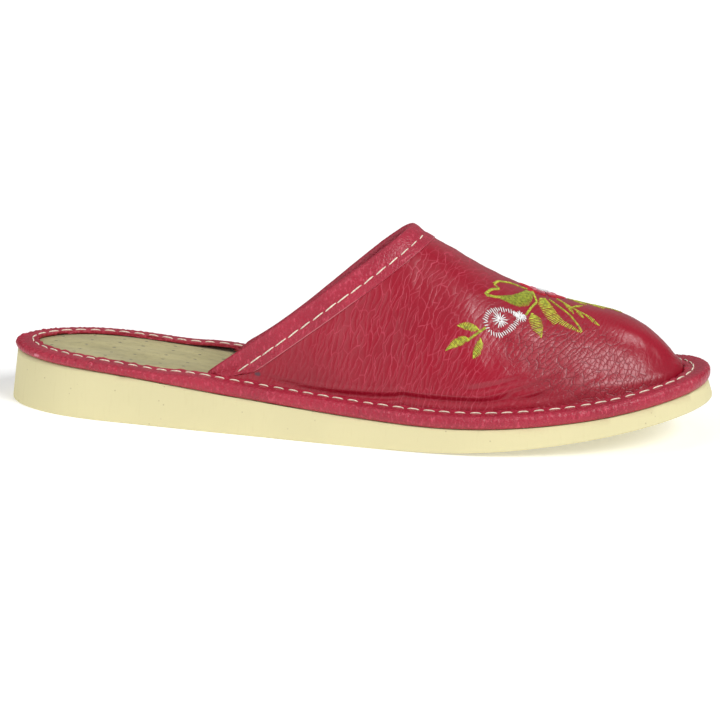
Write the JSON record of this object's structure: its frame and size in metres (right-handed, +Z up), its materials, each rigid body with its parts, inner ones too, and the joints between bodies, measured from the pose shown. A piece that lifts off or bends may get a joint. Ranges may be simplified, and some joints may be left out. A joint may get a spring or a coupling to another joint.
{
  "type": "babouche slipper",
  "caption": "Backless leather slipper for the right foot: foam wedge sole, suede insole, closed-toe vamp with a collar band, and a rim binding round the edge.",
  "frame": {"origin": "on the floor under the middle of the sole's length and width", "axes": "+X from heel to toe, +Y towards the inner side of the foot, +Z up"},
  "size_m": [0.262, 0.0904, 0.0735],
  "materials": {
    "sole_foam": "matt cream foam with fine saw marks",
    "insole_suede": "suede, olive beige",
    "upper_leather": "pebbled red leather, half gloss",
    "binding_leather": "red leather strip, half gloss",
    "seam_thread": "cream polyester thread",
    "embroidery_thread": "glossy satin stitch in greens, white and rose red"
  },
  "bodies": {
    "root": {"sole": "sole_foam", "insole": "insole_suede", "upper": "upper_leather", "collar_binding": "binding_leather", "rim_binding": "binding_leather"}
  },
  "joints": []
}
